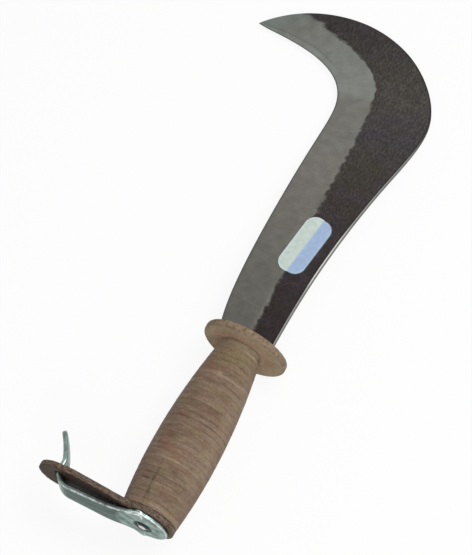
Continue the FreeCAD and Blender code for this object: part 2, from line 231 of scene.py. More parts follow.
def scale_border(tree, mark, across):
    """0 on the bevel and 1 on the scale, with short spurs that follow the grinding."""
    spur_place = add(tree, "VectorMath", (across, (1.0, 0.28, 1.0)), operation="MULTIPLY")
    spurs = add(tree, "TexNoise", {"Vector": spur_place, "Scale": per_metre(1.6), "Detail": 2.0})
    blotches = add(tree, "TexNoise", {"Vector": across, "Scale": per_metre(5.5), "Detail": 2.0})
    border = mark["from_scale"]
    for pattern, depth in ((spurs, SPUR_LENGTH), (blotches, BLOTCH_DEPTH)):
        centred = add(tree, "Math", (pattern, -0.5), operation="ADD")
        border = add(tree, "Math", (centred, 4 * depth * MM, border), operation="MULTIPLY_ADD")
    border = add(tree, "Math", (border, mark["fade"]), operation="DIVIDE")
    return add(tree, "MapRange", (border, -0.5, 0.5), interpolation_type="SMOOTHSTEP")


print("spurs are", SPUR_LENGTH, "mm and blotches", BLOTCH_DEPTH, "mm deep")

# %% Ground bevel
HONE_LINE_HALF_WIDTH = 1.3 * MM


def ground_bevel(tree, mark, across, handled):
    """Bare steel: its colour with painted reflection along the blade, and its grinding lines, long
    across the bevel and fine along it.
    """
    lines_place = add(tree, "VectorMath", (across, (1.0, 0.08, 1.0)), operation="MULTIPLY")
    lines = add(tree, "TexNoise", {"Vector": lines_place, "Scale": per_metre(0.9), "Detail": 3.0})
    slanted = add(tree, "Math", (mark["above_grind"], CREASE_SLANT, mark["along"]),
                  operation="MULTIPLY_ADD")
    bevel = tone_along(tree, slanted, BEVEL_TONES_WITH_REFLECTION)
    for pattern, low, high in ((lines, 0.93, 1.06), (handled, 0.9, 1.11)):
        change = add(tree, "MapRange", (pattern, 0.3, 0.7, low, high))
        bevel = add(tree, "VectorMath", (bevel, change), operation="SCALE")
    # Towards the beak a second, steeper honing leaves one more line inside the edge.
    off_line = add(tree, "Math", (mark["from_hone"],), operation="ABSOLUTE")
    on_line = add(tree, "MapRange", (off_line, 0.0, HONE_LINE_HALF_WIDTH, 0.42, 0.0))
    by_beak = add(tree, "MapRange", (mark["along"], 0.76 * EDGE_LENGTH, 0.84 * EDGE_LENGTH))
    second = add(tree, "Math", (on_line, by_beak), operation="MULTIPLY")
    inside_line = add(tree, "MapRange", (mark["from_hone"], -1.0 * MM, 0.0, 0.1, 0.0))
    lighter = add(tree, "Math", (inside_line, by_beak, 1.0), operation="MULTIPLY_ADD")
    bevel = add(tree, "VectorMath", (bevel, lighter), operation="SCALE")
    honed = add(tree, "MapRange", (mark["from_edge"], 0.5 * MM, 1.1 * MM, 0.9, 0.0))
    honed = add(tree, "Math", (honed, second), operation="MAXIMUM")
    return add(tree, "Mix", (honed, bevel, "#4b544f")), lines


print("the honing line is", round(2 * HONE_LINE_HALF_WIDTH / MM, 1), "mm wide")

# %% Fire scale


def fire_scale(tree, mark, handled):
    """Pebbled oxide, purple where it is thin: its colour, and its black grit."""
    clouds = add(tree, "TexNoise", {"Vector": on_tool(tree), "Scale": per_metre(16), "Detail": 2.0})
    grit = add(tree, "TexNoise", {"Vector": on_tool(tree, (0.8, 1.4, 1.0)), "Detail": 4.0,
                                  "Scale": per_metre(1.9), "Roughness": 0.66})
    cast = add(tree, "MapRange", (clouds, 0.48, 0.7, 0.0, 0.45))
    tone = tone_along(tree, mark["along"], SCALE_TONES)
    scale = add(tree, "Mix", (cast, tone, "#342d36"))
    pebbles = add(tree, "MapRange", (grit, 0.34, 0.68, 0.4, 1.75))
    uneven = add(tree, "MapRange", (handled, 0.3, 0.7, 0.8, 1.2))
    pebbles = add(tree, "Math", (pebbles, uneven), operation="MULTIPLY")
    return add(tree, "VectorMath", (scale, pebbles), operation="SCALE"), grit


print("fire scale ready")

# %% Filed spine


def filed_spine_highlight(tree, mark):
    """Filed corner with a painted highlight, most in the straight part: its share, colour and the
    painted shade on the shoulder.
    """
    band = add(tree, "Math", (mark["filing_highlight"], 0.55 * MM, 0.3 * MM), operation="MULTIPLY_ADD")
    inside = add(tree, "Math", (mark["from_spine"], band), operation="SUBTRACT")
    filed = add(tree, "MapRange", (inside, 0.0, 0.25 * MM, 1.0, 0.0))
    bright = add(tree, "Math", (mark["filing_highlight"], 3.0), operation="MULTIPLY", use_clamp=True)
    filed = add(tree, "Math", (filed, bright), operation="MULTIPLY")
    # The scale on the shoulder inside the filed corner is painted darker as shade.
    shoulder = add(tree, "MapRange", (inside, 0.4 * MM, 1.6 * MM, 0.45))
    filed_highlight_tone = add(tree, "Mix", (mark["filing_highlight"], "#5c5c59", "#b4b4b0"))
    side = add(tree, "MapRange", (mark["from_spine"], 0.05 * MM, 0.2 * MM, 1.0, 0.0))
    side = add(tree, "Math", (side, bright), operation="MULTIPLY")
    filed_highlight_tone = add(tree, "Mix", (side, filed_highlight_tone, "#5b5957"))
    return filed, filed_highlight_tone, shoulder


print("filed spine ready")

# %% Forged steel as one finish


def blade_steel():
    """Ground bevel, fire scale and a filed spine in one finish."""
    finish, tree = new_finish("forged_carbon_steel")
    mark = {name: add(tree, "Attribute", attribute_name=name).outputs["Fac"]
            for name in ("along", "from_edge", "above_grind", "from_scale", "fade", "from_spine",
                         "filing_highlight", "from_hone")}
    across = add(tree, "CombineXYZ", {"X": mark["along"], "Y": mark["above_grind"]})
    handled = add(tree, "TexNoise", {"Vector": on_tool(tree), "Scale": per_metre(7), "Detail": 4.0})
    scaled = scale_border(tree, mark, across)
    bevel, lines = ground_bevel(tree, mark, across, handled)
    scale, grit = fire_scale(tree, mark, handled)
    filed, filed_highlight_tone, shoulder = filed_spine_highlight(tree, mark)
    # Painted shade darkens the scale on the shoulder by the spine.
    scale = add(tree, "VectorMath", (scale, shoulder), operation="SCALE")
    colour = add(tree, "Mix", (scaled, bevel, scale))
    colour = add(tree, "Mix", (filed, colour, filed_highlight_tone))
    bare = add(tree, "Math", (1.0, scaled), operation="SUBTRACT")
    metal = add(tree, "Math", (bare, filed), operation="MAXIMUM")
    rough = add(tree, "MapRange", (metal, 0.0, 1.0, 0.55, 0.42))
    grit_bump = add(tree, "Bump", {"Strength": 0.4, "Distance": 0.15 * MM, "Height": grit})
    lines_bump = add(tree, "Bump", {"Strength": 0.15, "Distance": 0.05 * MM, "Height": lines,
                                    "Normal": grit_bump})
    # Scale is porous, so it mirrors less than a clear coat would.
    shader = add(tree, "BsdfPrincipled", {"Base Color": colour, "Metallic": metal,
                                          "Roughness": rough, "Normal": lines_bump,
                                          "Specular IOR Level": 0.2})
    add(tree, "OutputMaterial", {"Surface": shader})
    return finish


blade_finish = blade_steel()
print("finish:", blade_finish.name)

# %% [markdown]
# ## The blade's shape
# The smith's pattern is twelve cross-sections from heel to beak, each with its edge, its grind
# line, its spine and its thickness. Smooth lines through them give the blade's rails. A ruled
# surface would do for the outline, but a real blade shows soft hammer hollows, a grind
# line that is a little rounded and a honed edge, so the skin is sampled every 1 to 3 mm and
# those are pressed into it, always inwards.

# %% Rails of the blade
GUARD_THICKNESS = 5.0
BLADE_STATIONS = [
    ((0.0, -21.0), (0.0, -3.0), (0.0, 16.0), 5.0),
    ((25.0, -27.0), (25.0, -3.5), (25.0, 16.0), 4.9),
    ((60.0, -30.0), (60.0, -3.8), (60.0, 17.1), 4.7),
    ((100.0, -31.0), (100.0, -4.5), (100.0, 20.8), 4.4),
    ((140.0, -30.7), (140.0, -5.2), (140.0, 27.0), 4.1),
    ((168.0, -29.8), (172.0, -6.0), (176.0, 33.8), 3.9),
    ((188.0, -31.0), (196.0, -8.5), (204.0, 33.0), 3.7),
    ((202.5, -38.8), (214.5, -14.5), (226.5, 19.0), 3.5),
    ((211.5, -52.5), (227.0, -32.0), (243.5, -3.5), 3.2),
    ((216.3, -69.0), (234.2, -52.0), (251.8, -32.0), 2.9),
    ((218.5, -86.0), (237.0, -70.0), (250.0, -60.0), 2.4),
    ((219.3, -98.0), (237.0, -87.0), (240.0, -85.5), 1.6),
]
BEAK_TIP = (220.5, -107.5)
BEAK_TIP_WIDTH = 1.2
BEAK_TIP_THICKNESS = 0.8
EDGE_LAND = 0.4
SPINE_EASE = 0.6
SPINE_EASE_DROP = 0.36


def smooth_line(knots, places):
    """Smooth curve through knots at 0, 1, 2 and so on, read at places between them."""
    knots = np.asarray(knots, float)
    last = len(knots) - 1
    end_slope = np.array((-11, 18, -9, 2)) / 6
    system, right = np.eye(last + 1), np.empty_like(knots)
    right[0] = end_slope @ knots[:4]
    right[last] = -end_slope @ knots[:-5:-1]
    for k in range(1, last):
        system[k, k - 1:k + 2] = (1, 4, 1)
        right[k] = 3 * (knots[k + 1] - knots[k - 1])
    slopes = np.linalg.solve(system, right)
    k = np.minimum(places.astype(int), last - 1)
    t = (places - k)[:, None]
    return (knots[k] * (1 + 2 * t) * (1 - t) ** 2 + slopes[k] * t * (1 - t) ** 2
            + knots[k + 1] * t ** 2 * (3 - 2 * t) + slopes[k + 1] * t ** 2 * (t - 1))


def section_corners(edge, grind, spine, thickness):
    """Upper corners of a section: edge, grind line, shoulder by the spine, and spine."""
    half = thickness / 2
    edge, grind, spine = np.array(edge), np.array(grind), np.array(spine)
    width = np.linalg.norm(grind - spine)
    ease = min(SPINE_EASE, width / 2, half)
    shoulder = spine + (grind - spine) * ease / width
    brow = half - ease * SPINE_EASE_DROP / SPINE_EASE
    rim = min(EDGE_LAND, thickness) / 2
    return [(*edge, rim), (*grind, half), (*shoulder, half), (*spine, brow)]


last_edge, last_spine = np.array(BLADE_STATIONS[-1][0]), np.array(BLADE_STATIONS[-1][2])
across_tip = (last_spine - last_edge) / np.linalg.norm(last_spine - last_edge) * BEAK_TIP_WIDTH
tip = np.array(BEAK_TIP)
stations = BLADE_STATIONS + [(tip, tip + across_tip / 2, tip + across_tip, BEAK_TIP_THICKNESS)]
corners = np.array([section_corners(*station) for station in stations])
corners[:, :, 0] += GUARD_THICKNESS
STEPS_PER_STATION = 14
places = np.linspace(0, len(stations) - 1, (len(stations) - 1) * STEPS_PER_STATION + 1)
rails = smooth_line(corners.reshape(len(stations), -1), places).reshape(len(places), 4, 3) * MM
print("blade sections:", len(rails))

# %% Skin of the blade and its tang
BEVEL_STEPS = 16
BODY_STEPS = 26
HONE_START = 0.04 * MM
HONE_SLOPE = 0.26
GRIND_ROUND = 0.16 * MM
GRIND_REACH = 6.0 * MM
HAMMER_DEPTH = 0.10 * MM

bevel_share = np.linspace(0, 1, BEVEL_STEPS, endpoint=False)[:, None]
body_share = np.linspace(0, 1, BODY_STEPS, endpoint=False)[:, None]
edge, grind, shoulder, spine = (rails[:, k, None] for k in range(4))
upper = np.concatenate([edge + (grind - edge) * bevel_share,
                        grind + (shoulder - grind) * body_share, shoulder, spine], axis=1)
from_edge = np.linalg.norm((upper - edge)[..., :2], axis=2)
to_grind = np.linalg.norm((upper - grind)[..., :2], axis=2)
on_bevel = np.arange(upper.shape[1]) < BEVEL_STEPS
above_grind = np.where(on_bevel, -to_grind, to_grind)
from_spine = np.linalg.norm((upper - spine)[..., :2], axis=2)
edge_steps = np.linalg.norm(np.diff(rails[:, 0], axis=0), axis=1)
along = np.concatenate([[0], np.cumsum(edge_steps)])[:, None] * np.ones_like(from_edge)


def worked_face(face, seed):
    """Presses honed edge, soft grind line and hammer hollows into one face of the blade."""
    half = grind[..., 2] * np.ones_like(face[..., 2])
    height = np.minimum(face[..., 2], HONE_START + HONE_SLOPE * from_edge)
    near = np.clip(1 - np.abs(half - face[..., 2]) / GRIND_ROUND, 0, 1)
    near = near * (to_grind < GRIND_REACH)
    height = height - near ** 2 * GRIND_ROUND / 6
    hollows = np.clip(0.5 + 0.6 * bumps(face, 13, seed) + 0.4 * bumps(face, 4, seed + 1), 0, 1)
    inside = np.clip(from_spine / (2 * MM), 0, 1) * np.clip(above_grind / (2 * MM), 0, 1)
    worked = face.copy()
    worked[..., 2] = height - hollows * HAMMER_DEPTH * inside
    return worked


def mirror(face):
    """The same face seen from below the blade, its points in turning order."""
    return face[:, ::-1] * (1, 1, -1)


blade_loops = np.concatenate([worked_face(upper, 1), mirror(worked_face(upper, 7))], axis=1)
around = blade_loops.shape[1]
print("points in a section:", around)

# %% Tang and peened end
TANG_WIDTHS = (14.0, 9.0)
TANG_HALF_THICKNESS = 2.3 * MM
TONGUE_THICKNESS = 4.2 * MM
TONGUE_FACE = -GRIP_LENGTH - TONGUE_THICKNESS
HOOK_CROWN = 3.5 * MM
RECESS_DEPTH = 1.1 * MM
SHANK_RADIUS = 3.5 * MM
HEAD_RADIUS = 4.3 * MM
HEAD_WALL = 0.8 * MM
HEAD_HEIGHT = 2.3 * MM
HEAD_DENT = 0.09 * MM

face_share = (np.arange(around // 2) + 0.5) / (around // 2)


def tang_loop(x, half_width):
    """Flat section of the tang with as many points as the blade's."""
    y = half_width * (2 * face_share - 1)
    over = np.stack([x + 0 * y, y, 0 * y + TANG_HALF_THICKNESS], axis=1)
    return np.concatenate([over, over[::-1] * (1, 1, -1)])


def round_loop(x, radius):
    """Round section with as many points as the blade's."""
    turn = np.pi * face_share
    over = np.stack([x + 0 * turn, -radius * np.cos(turn), radius * np.sin(turn)], axis=1)
    return np.concatenate([over, over[::-1] * (1, 1, -1)])


recess_floor = TONGUE_FACE - HOOK_CROWN + RECESS_DEPTH
dome_rise = HEAD_HEIGHT - HEAD_WALL
dome_ball = (HEAD_RADIUS ** 2 + dome_rise ** 2) / (2 * dome_rise)
head_loops = []
for share in (0.12, 0.3, 0.48, 0.64, 0.78, 0.9, 0.97, 1.0):
    fall = dome_ball - math.sqrt(dome_ball ** 2 - (share * HEAD_RADIUS) ** 2)
    head_loops.append(round_loop(recess_floor - HEAD_HEIGHT + fall, share * HEAD_RADIUS))
head_loops = np.array(head_loops)
head_loops[..., 0] += HEAD_DENT * (1 + bumps(head_loops, 2.2, 3))
tang_loops = [round_loop(recess_floor, HEAD_RADIUS), round_loop(recess_floor, SHANK_RADIUS),
              round_loop(TONGUE_FACE, SHANK_RADIUS),
              tang_loop(TONGUE_FACE, TANG_WIDTHS[1] / 2 * MM),
              tang_loop(GUARD_THICKNESS * MM, TANG_WIDTHS[0] / 2 * MM)]
before_blade = len(head_loops) + len(tang_loops)
all_loops = np.concatenate([head_loops, tang_loops, blade_loops])
print("loops from peened end to beak:", len(all_loops))

# %% Marks on the blade


def with_mirror(values, before):
    """Marks for both faces of the blade, after a fixed value for the loops of the tang."""
    both = np.concatenate([values, values[:, ::-1]], axis=1)
    return np.concatenate([np.full((before_blade, around), before), both])


# How far above the grind line the scale starts, and how softly, at places along the edge in
# millimetres. It stops short of the beak, where the whole width is ground.
SCALE_AT = (0, 35, 58, 105, 195, 212, 244, 250, 256, 262, 268, 274)
SCALE_START = (2.2, 2.2, 0.6, 0.3, 0.2, -0.5, 0.0, 0.8, 2.8, 3.8, 3.0, 5.0)
SCALE_FADE = (2.8, 2.6, 2.6, 2.6, 2.0, 1.9, 2.6, 3.4, 4.2, 4.0, 2.4, 2.0)
HONE_AT = (215, 245, 262, 273)
HONE_REACH = (5.6, 5.8, 4.8, 2.6)
# Where along the edge the spine's filed corner widens and carries a painted highlight, and how
# strongly.
FILING_HIGHLIGHT_AT = (0, 50, 62, 95, 112, 165, 182)
FILING_HIGHLIGHT = (0.3, 0.45, 0.95, 0.95, 0.4, 0.3, 0.03)
from_scale = above_grind - np.interp(along / MM, SCALE_AT, SCALE_START) * MM
fade = np.interp(along / MM, SCALE_AT, SCALE_FADE) * MM
filing_highlight = np.interp(along / MM, FILING_HIGHLIGHT_AT, FILING_HIGHLIGHT)
from_hone = from_edge - np.interp(along / MM, HONE_AT, HONE_REACH) * MM
FAR = 0.02
blade_marks = {"along": (along, 0.0), "from_edge": (from_edge, FAR), "fade": (fade, MM),
               "above_grind": (above_grind, FAR), "from_scale": (from_scale, FAR),
               "from_spine": (from_spine, FAR), "filing_highlight": (filing_highlight, 0.0),
               "from_hone": (from_hone, FAR)}
blade_marks = {name: with_mirror(*pair) for name, pair in blade_marks.items()}
print("marks on the blade:", ", ".join(blade_marks))

# %% [markdown]
# ## Peened end
# The tang's end is hammered over the hook's plate while it is bright, so it is bare steel,
# dented by the hammer, with a painted highlight on its crown. It is part of the forging, and only
# takes a finish of its own.

# %% Finish of the peened end


def peened_steel():
    """Bare hammered steel with a painted highlight on the crown, darker towards its rim."""
    finish, tree = new_finish("peened_bright_steel")
    dents = add(tree, "TexVoronoi", {"Vector": on_tool(tree), "Scale": per_metre(1.6)})
    stain = add(tree, "TexNoise", {"Vector": on_tool(tree), "Scale": per_metre(2.5), "Detail": 3.0})
    from_middle = add(tree, "VectorMath", (on_tool(tree, (0.0, 1.0, 1.0)),), operation="LENGTH")
    # The near-white crown is a painted highlight; outside it the head is darker.
    crown_highlight = add(tree, "MapRange", (from_middle.outputs["Value"], 2.0 * MM, 2.9 * MM, 1.0, 0.0))
    bright = add(tree, "Mix", (stain, "#b9bebc", "#f4f6f5"))
    colour = add(tree, "Mix", (crown_highlight, "#3a3d3b", bright))
    bump = add(tree, "Bump", {"Strength": 0.3, "Distance": 0.1 * MM, "Height": dents})
    shader = add(tree, "BsdfPrincipled", {"Base Color": colour, "Metallic": 1.0,
                                          "Roughness": 0.25, "Normal": bump})
    add(tree, "OutputMaterial", {"Surface": shader})
    return finish


print("peened finish ready")

# %% Forging
# The dome of the peened end takes the second finish, the rest of the forging the first.
strips = [1] * (len(head_loops) + 1) + [0] * (len(all_loops) - len(head_loops) - 1)
blade = skin("forged_blade", all_loops, [blade_finish, peened_steel()], marks=blade_marks,
             strip_finish=strips, crease=25)
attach(blade, "root")
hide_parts("blade_and_tang")
print("forged_blade has", len(blade.data.vertices), "points")

# %% [markdown]
# ## Leather, cut across
# The grip shows the cut edges of thick vegetable-tanned leather: pale brown, fibrous, with fine
# lines that run round the stack, reddish and olive stains and old dirt in some of the seams.
# The faces of the guard show the grain side, and are smoother. One network makes both by
# different colours and stretches, so that the pieces look cut from one hide. The meshes say
# where dirt sits, where a lifted rim is rubbed pale, where painted light pales the leather
# and where a red stain is.

# %% Finish of the leather


def hide(name, pale, mid, dark, red, olive, fibre_mm, stretch):
    """Undyed leather: streaky fibres, stains, a tone for each piece, dirt, rubbed rims and painted
    light.
    """
    finish, tree = new_finish(name)
    mark = {kind: add(tree, "Attribute", attribute_name=kind).outputs["Fac"]
            for kind in ("tone", "dirt_and_dark_ring", "rub_and_painted_light", "stain", "yellowed")}
    fibres = add(tree, "TexNoise", {"Vector": on_tool(tree, stretch), "Detail": 5.0,
                                    "Scale": per_metre(fibre_mm), "Roughness": 0.62})
    speck = add(tree, "TexNoise", {"Vector": on_tool(tree), "Detail": 3.0,
                                   "Scale": per_metre(1.9), "Roughness": 0.6})
    fibre_share = add(tree, "MapRange", (fibres, 0.3, 0.7))
    light_side = add(tree, "Math", (mark["tone"], 0.28, fibre_share), operation="MULTIPLY_ADD",
                     use_clamp=True)
    colour = add(tree, "Mix", (light_side, mid, pale))
    # Each tint lies in patches of its own size, shifted so that no two lie alike.
    for tint, flat, size_mm, start, most in ((dark, (2.0, 0.6, 0.6), 10, 0.52, 0.6),
                                             (red, (1.6, 0.9, 0.9), 13, 0.54, 0.42),
                                             (olive, (1.4, 0.8, 0.8), 9, 0.52, 0.6)):
        place = add(tree, "VectorMath", (on_tool(tree, flat), (start, most, start)))
        patch = add(tree, "TexNoise", {"Vector": place, "Detail": 3.0,
                                       "Scale": per_metre(size_mm)})
        share = add(tree, "MapRange", (patch, start, start + 0.2, 0.0, most))
        colour = add(tree, "Mix", (share, colour, tint))
    for kind, tint in (("stain", red), ("yellowed", olive)):
        colour = add(tree, "Mix", (mark[kind], colour, tint))
    speck_share = add(tree, "MapRange", (speck, 0.32, 0.68, 0.84, 1.16))
    colour = add(tree, "VectorMath", (colour, speck_share), operation="SCALE")
    # The pale tint lays rubbed rims and painted light, the dark one dirt.
    for kind, tint in (("rub_and_painted_light", "#b3a18b"), ("dirt_and_dark_ring", "#372b22")):
        colour = add(tree, "Mix", (mark[kind], colour, tint))
    rough = add(tree, "MapRange", (fibres, 0.0, 1.0, 0.9, 0.7))
    bump = add(tree, "Bump", {"Strength": 0.5, "Distance": 0.2 * MM, "Height": fibres})
    shader = add(tree, "BsdfPrincipled", {"Base Color": colour, "Roughness": rough,
                                          "Normal": bump, "IOR": 1.45,
                                          "Specular IOR Level": 0.25, "Sheen Weight": 0.06,
                                          "Sheen Roughness": 0.5})
    add(tree, "OutputMaterial", {"Surface": shader})
    return finish


grip_finish = hide("stacked_leather_edges", "#877362", "#6e5a4a", "#564638", "#7a5040", "#7d7050",
                   fibre_mm=9, stretch=(7.0, 1.0, 1.0))
guard_finish = hide("thick_leather_disc", "#bda589", "#9f876f", "#7d6b58", "#9d745b", "#948e6c",
                    fibre_mm=3, stretch=(1.0, 1.0, 1.0))
print("leather finishes ready")

# %% [markdown]
# ## Rings of leather
# A washer is turned here as a profile taken round the tang: out along one face, over the rim and
# back along the other, with the tang's slot in the middle. The stack was sanded as one, so
# the rims follow one smooth swelling line, and since then each washer has shrunk a little on
# its own and lost its sharp corners. That is what makes the fine ribs of the grip.

# %% Rings
SLOT_HALF_THICKNESS = 2.5 * MM
SLOT_HALF_WIDTHS = (7.2 * MM, 4.7 * MM)


def slot_reach(angle, back):
    """Distance from the tang's middle to the wall of its slot, at an angle and a distance back."""
    share = np.clip(back / GRIP_LENGTH, 0, 1)
    half_width = SLOT_HALF_WIDTHS[0] + (SLOT_HALF_WIDTHS[1] - SLOT_HALF_WIDTHS[0]) * share
    return 1 / np.maximum(np.abs(np.cos(angle)) / half_width,
                          np.abs(np.sin(angle)) / SLOT_HALF_THICKNESS)


def ring_loops(profile, middle, around):
    """Loops round the tang through (x, radius, share of the way out from the slot)."""
    angle = np.linspace(0, 2 * np.pi, around, endpoint=False)
    loops = []
    for x, radius, share in profile:
        inner = slot_reach(angle, -x)
        y, z = np.cos(angle), np.sin(angle)
        wall = np.stack([x + 0 * angle, inner * y, inner * z], axis=1)
        rim = np.stack([x + 0 * angle, middle + radius * y, radius * z], axis=1)
        loops.append(wall + (rim - wall) * share)
    return np.array(loops)


print("ring function ready")

# %% [markdown]
# ## The grip
# Thirty washers of 4.35 mm, thin at the guard, full in the palm and thinner again at the hook.
# The swelling line is one cubic through four radii, and its middle leans a little off the
# tang, as the sanding left it. The seams are mostly closed and hard to see, a few hold dirt,
# and a few rims have lifted and are rubbed pale. Painted light pales the first washers where
# the guard shades them, and one side of the grip. A drying crack runs along the last
# washers, and the first one has a chip beside the guard.

# %% Marks of use on the grip
WASHER_COUNT = 30
GRIP_RADII = (14.6, 19.7, 22.5, 19.7)
RADII_AT = (0.0, 0.26, PALM_AT, 1.0)
GRIP_MIDDLES = (-1.8, 0.4)
WORN_CORNER = 0.12 * MM
SHRINK = 0.07 * MM
WASHER_AROUND = 150
SEAM_REACH = 0.45 * MM
RIPPLE = 0.05 * MM
CLEAN_SEAMS = 6

# Each patch has its place back from the guard and its half length in mm, its place round the
# tang and its half width in degrees, and its strength.
CRACK = (114.0, 13.0, -102.0, 1.7, 0.75)
STAINS = ((64.6, 1.0, -116.0, 11.0, 0.8), (89.5, 4.0, -107.0, 17.0, 0.4),
          (75.0, 1.8, -40.0, 12.0, 0.35), (52.0, 4.0, -117.0, 6.0, 0.4),
          (118.0, 3.0, -72.0, 16.0, 0.3), (98.5, 2.2, -55.0, 8.0, 0.3))
# The patch at 3 mm back darkens the chip beside the guard.
DIRT = ((48.3, 0.6, -32.0, 11.0, 0.55), (35.6, 1.2, -92.0, 26.0, 0.35),
        (80.5, 2.0, -110.0, 11.0, 0.35), (95.0, 1.0, -52.0, 3.0, 0.5),
        (64.6, 0.7, -116.0, 9.0, 0.35), (113.0, 1.0, -117.0, 10.0, 0.45),
        (35.0, 1.0, -45.0, 18.0, 0.25), (3.0, 1.2, -12.0, 7.0, 0.8),
        (121.0, 12.0, -90.0, 70.0, 0.1))
# The wide patch at 1.5 mm and the long one at 68 mm are painted light, pale where the guard shades
# the first washers and along one side of the grip; the rest are lifted rims rubbed pale.
RUBBED_AND_PAINTED_LIGHT = ((28.8, 0.7, -65.0, 45.0, 0.32), (96.2, 0.7, -80.0, 55.0, 0.36),
          (5.2, 0.6, -42.0, 26.0, 0.6), (9.0, 0.6, -52.0, 26.0, 0.45),
          (13.6, 0.6, -50.0, 22.0, 0.3), (27.5, 1.2, -91.0, 3.5, 0.45),
          (1.5, 3.5, -80.0, 100.0, 0.42), (128.5, 0.8, -60.0, 40.0, 0.3),
          (1.2, 0.7, -34.0, 24.0, 0.55), (68.0, 45.0, -30.0, 20.0, 0.2))
YELLOWED = ((8.0, 14.0, -60.0, 70.0, 0.5), (56.0, 5.0, -38.0, 12.0, 0.4),
            (82.0, 3.0, -42.0, 12.0, 0.45), (124.0, 6.0, -38.0, 14.0, 0.45))
USE = {"dirt_and_dark_ring": DIRT, "rub_and_painted_light": RUBBED_AND_PAINTED_LIGHT, "stain": STAINS, "yellowed": YELLOWED}
CRACK_DEPTH = 0.3 * MM
CHIP = (2.6, 1.6, -10.0, 6.0, 1.0)
CHIP_DEPTH = 1.2 * MM


def patch(loops, spot, wander=0.0):
    """Strength of one soft patch at each point of a washer's loops."""
    back, half_length, turn, half_width, strength = spot
    along_grip = (-loops[..., 0] / MM - back) / half_length
    angle = np.degrees(np.arctan2(loops[..., 2], loops[..., 1] - grip_line(loops[..., 0])[1]))
    angle = angle - wander * np.sin(loops[..., 0] / (2.2 * MM))
    off = (angle - turn + 180) % 360 - 180
    soft = 1 + 0.6 * bumps(loops, 3, half_width)
    return strength * soft * np.exp(-along_grip ** 2 - (off / half_width) ** 2)


print("marks of use:", 2 + sum(len(spots) for spots in USE.values()))

# %% Washers
swelling = np.polynomial.Polynomial.fit(RADII_AT, GRIP_RADII, 3)
random = np.random.default_rng(4)
washer_thickness = GRIP_LENGTH / WASHER_COUNT


def grip_line(x):
    """Radius and middle of the sanded grip at a place along the tang."""
    share = -x / GRIP_LENGTH
    middle = GRIP_MIDDLES[0] + (GRIP_MIDDLES[1] - GRIP_MIDDLES[0]) * share
    return swelling(share) * MM, middle * MM


for number in range(1, WASHER_COUNT + 1):
    front = -(number - 1) * washer_thickness
    back = front - washer_thickness
    middle = grip_line((front + back) / 2)[1]
    shrink = SHRINK * random.random()
    corner = WORN_CORNER * (0.6 + 0.8 * random.random())
    front_rim = [(0.0, corner), (0.3 * corner, 0.3 * corner), (corner, 0.0),
                 (0.2 * washer_thickness, 0.0), (0.35 * washer_thickness, 0.0)]
    back_rim = [(washer_thickness - deep, inset) for deep, inset in reversed(front_rim)]
    profile = [(front, grip_line(front)[0], share) for share in (0.0, 0.6)]
    for deep, inset in front_rim + [(washer_thickness / 2, 0.0)] + back_rim:
        x = front - deep
        profile.append((x, grip_line(x)[0] - inset - shrink, 1.0))
    profile += [(back, grip_line(back)[0], share) for share in (0.6, 0.0)]
    loops = ring_loops(profile, middle, WASHER_AROUND)
    from_face = np.minimum(np.abs(loops[..., 0] - front), np.abs(loops[..., 0] - back))
    seam = np.clip(1 - from_face / SEAM_REACH, 0, 1)
    seam = seam * (0.04 + 0.4 * random.random() ** 3) * (1 + 0.8 * bumps(loops, 9, number + 90))
    seam = seam * min(number / CLEAN_SEAMS, 1.0)
    crack = patch(loops, CRACK, wander=0.7)
    chip = patch(loops, CHIP)
    marks = {kind: sum(patch(loops, spot) for spot in spots) for kind, spots in USE.items()}
    marks["dirt_and_dark_ring"] = marks["dirt_and_dark_ring"] + seam + crack
    marks = {kind: np.clip(values, 0, 1) for kind, values in marks.items()}
    marks["tone"] = np.full(loops.shape[:2], random.uniform(-1, 1))
    rim = slice(2, len(profile) - 2)
    ripple = RIPPLE * (bumps(loops[rim], 6, number) + bumps(loops[rim], 1.5, number + 50) - 1)
    ripple = ripple - crack[rim] * CRACK_DEPTH - chip[rim] * CHIP_DEPTH
    outward = loops[rim] * (0, 1, 1) - (0, middle, 0)
    outward /= np.linalg.norm(outward, axis=2)[..., None]
    loops[rim] += outward * ripple[..., None]
    washer = skin("washer_%02d" % number, loops, [grip_finish], ring=True, marks=marks)
    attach(washer, "root")
    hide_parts("grip_washer_%02d" % number)
print("washers:", WASHER_COUNT, "of", round(washer_thickness / MM, 2), "mm")

# %% [markdown]
# ## The guard
# A thick disc of the same leather between blade and grip. Its faces show the grain, its rim the
# compressed layers of the hide, and use has bent it a little and rounded its corners.

# %% Guard
GUARD_RADIUS = 30.0 * MM
GUARD_BEND = 0.25 * MM
GUARD_DENT = 0.12 * MM
RIM_ROUND = 1.3 * MM
GUARD_AROUND = 180

thick = GUARD_THICKNESS * MM
rear_half = [(0.0, GUARD_RADIUS, share) for share in (0.0, 0.25, 0.5, 0.7, 0.85)]
for swing in np.radians((0, 30, 60, 90)):
    rear_half.append((RIM_ROUND * (1 - math.cos(swing)),
                      GUARD_RADIUS - RIM_ROUND * (1 - math.sin(swing)), 1.0))
rim_line = [(thick * share, GUARD_RADIUS, 1.0) for share in (0.3, 0.4, 0.5, 0.6, 0.7)]
front_half = [(thick - x, radius, share) for x, radius, share in reversed(rear_half)]
guard_profile = rear_half + rim_line + front_half
guard_loops = ring_loops(guard_profile, 0.0, GUARD_AROUND)
reach = np.linalg.norm(guard_loops[..., 1:], axis=2)
outer = np.clip((reach - 0.75 * GUARD_RADIUS) / (0.25 * GUARD_RADIUS), 0, 1)
swing = np.arctan2(guard_loops[..., 2], guard_loops[..., 1])
guard_loops[..., 0] += GUARD_BEND * outer * np.sin(2 * swing + 0.6)
dents = GUARD_DENT * outer * (bumps(guard_loops, 7, 21) + 0.6 * bumps(guard_loops, 1.8, 22) - 1)
guard_loops[..., 1:] *= (1 + dents / np.maximum(reach, MM))[..., None]
print("guard loops:", len(guard_loops))

